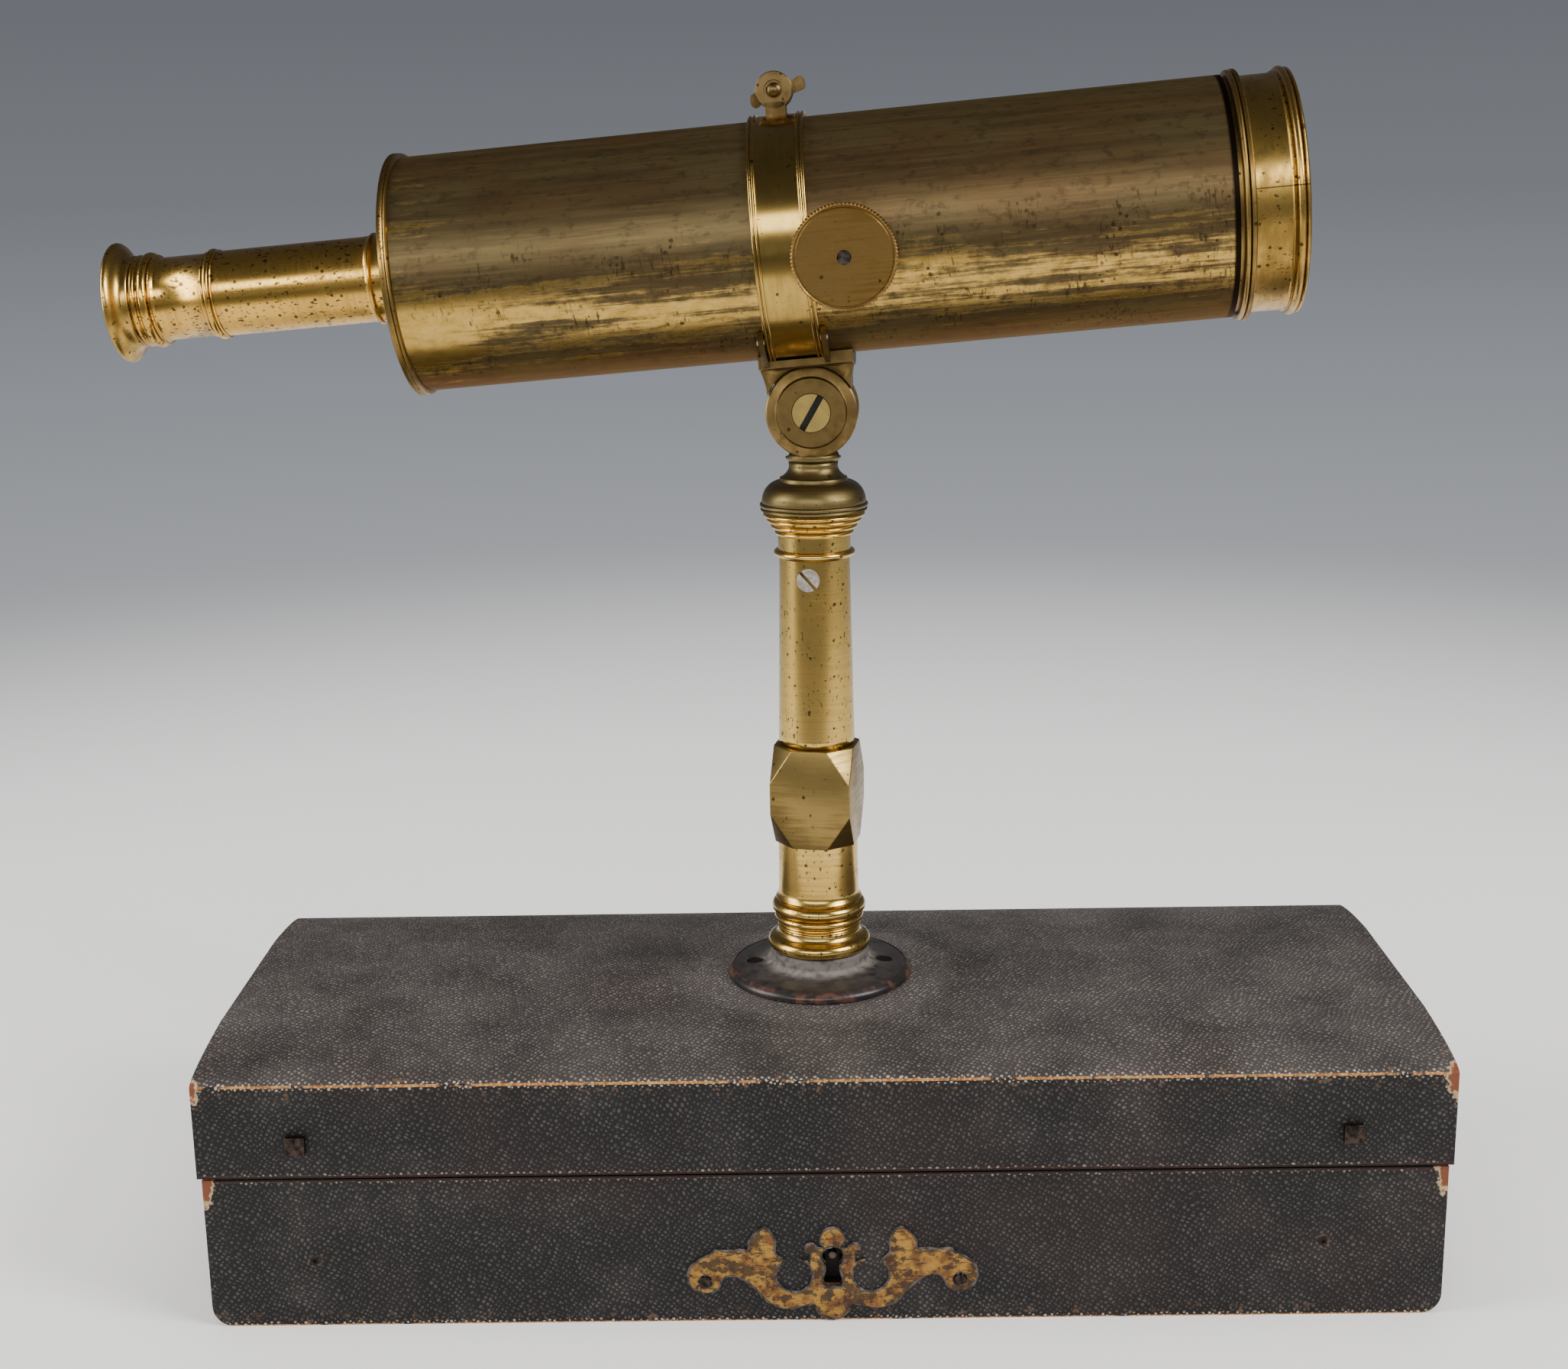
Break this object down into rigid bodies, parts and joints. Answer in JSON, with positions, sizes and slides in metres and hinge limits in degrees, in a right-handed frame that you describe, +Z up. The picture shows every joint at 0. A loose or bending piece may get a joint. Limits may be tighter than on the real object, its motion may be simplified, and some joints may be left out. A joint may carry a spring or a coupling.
{
  "type": "reflecting telescope",
  "caption": "Gregorian reflecting telescope on a turned brass pillar that stands on the lid of its own fish-skin case",
  "frame": {"origin": "centre of the case's underside", "axes": "+Z up along the pillar, +X along the case towards the telescope's mouth, -Y towards the case's front with the keyhole"},
  "size_m": [0.3759, 0.1434, 0.3439],
  "materials": {
    "shagreen": "black fish skin, ground smooth, pale round nodules, worn edges",
    "case_wood": "plain softwood boards",
    "baize": "green woollen lining",
    "ebonised_wood": "turned, ebonised, waxed",
    "aged_brass": "lacquered brass with brown patina",
    "bright_brass": "handled brass, fine lathe lines",
    "worn_gilt": "cast brass, worn gilding, dark in the hollows",
    "steel": "plain steel, slightly rusted",
    "dark_iron": "dark iron",
    "speculum": "polished speculum metal",
    "lens_glass": "clear lens"
  },
  "bodies": {
    "base": {"base_floor": "case_wood", "base_carcass": "case_wood", "base_covering": "shagreen", "base_lining": "baize", "cradles": "baize", "base_hinge_leaves": "aged_brass", "base_hinge_screws": "steel", "hinge_pins": "steel", "lock_body": "aged_brass", "key_pin": "dark_iron", "escutcheon": "worn_gilt", "escutcheon_pins": "dark_iron"},
    "bolt": {"lock_bolt": "steel"},
    "lid": {"lid_carcass": "case_wood", "lid_covering": "shagreen", "lid_lining": "baize", "lid_hinge_leaves": "aged_brass", "lid_hinge_screws": "steel", "lock_staple": "aged_brass", "hook_stubs": "dark_iron", "stand_flange": "ebonised_wood", "flange_screws": "steel", "flange_bush": "aged_brass", "pillar_foot": "bright_brass", "pillar_grip": "bright_brass", "pillar_shaft": "bright_brass", "pillar_capital": "bright_brass", "pillar_screw": "steel"},
    "head": {"swivel_head": "bright_brass", "joint_screw": "bright_brass"},
    "saddle": {"saddle": "bright_brass", "clamp_band": "bright_brass", "collar_pins": "steel"},
    "thumbscrew": {"clamp_thumbscrew": "bright_brass"},
    "tube": {"barrel_tube": "aged_brass", "back_plate": "aged_brass", "primary_mirror": "speculum", "mirror_spring": "steel", "mirror_ring": "aged_brass", "eye_tube": "bright_brass", "eye_coupling": "bright_brass", "eye_collar": "bright_brass", "eye_cup": "bright_brass", "field_lens": "lens_glass", "field_lens_ring": "bright_brass", "eye_stop": "aged_brass", "eye_lens": "lens_glass", "mouth_ring": "aged_brass", "focus_bush": "bright_brass", "slide_guides": "aged_brass"},
    "dust_cap": {"cap_band": "bright_brass", "cap_disc": "bright_brass"},
    "focus": {"focus_knob": "bright_brass", "focus_spindle": "steel", "focus_pinion": "bright_brass"},
    "slide": {"focus_slide": "bright_brass", "secondary_arm": "aged_brass", "secondary_cell": "aged_brass", "secondary_mirror": "speculum", "cell_screws": "steel"}
  },
  "joints": [
    {"name": "lid_hinge", "type": "hinge", "parent": "base", "child": "lid", "pos_m": [0, 0.0707, 0.0455], "axis": [-1, 0, 0], "range_deg": [0, 100]},
    {"name": "bolt_throw", "type": "slide", "parent": "base", "child": "bolt", "axis": [1, 0, 0], "range_m": [0, 0.005]},
    {"name": "azimuth", "type": "hinge", "parent": "lid", "child": "head", "pos_m": [0, 0, 0.2215], "axis": [0, 0, 1], "continuous": true},
    {"name": "altitude", "type": "hinge", "parent": "head", "child": "saddle", "pos_m": [0, 0, 0.2502], "axis": [-0.057, -0.9984, 0], "range_deg": [-40, 55]},
    {"name": "clamp_screw", "type": "hinge", "parent": "saddle", "child": "thumbscrew", "pos_m": [-0.0095, 0.00054, 0.33877], "axis": [-0.057, -0.9984, 0], "range_deg": [-30, 330]},
    {"name": "tube_turn", "type": "hinge", "parent": "saddle", "child": "tube", "pos_m": [-0.00387, 0.00022, 0.29844], "axis": [-0.9952, 0.0569, -0.08], "range_deg": [-10, 60]},
    {"name": "cap_pull", "type": "slide", "parent": "tube", "child": "dust_cap", "axis": [0.9952, -0.0569, 0.08], "range_m": [0, 0.03]},
    {"name": "focus_turn", "type": "hinge", "parent": "tube", "child": "focus", "pos_m": [0.00898, -0.0303, 0.29563], "axis": [-0.046, -0.9902, -0.1318], "range_deg": [-170, 170]},
    {"name": "focus_travel", "type": "slide", "parent": "tube", "child": "slide", "axis": [0.9952, -0.0569, 0.08], "range_m": [-0.0089, 0.0089]}
  ],
  "couplings": [
    {"joint": "focus_turn", "follows": "focus_travel", "rad_per_m": 333.33}
  ]
}
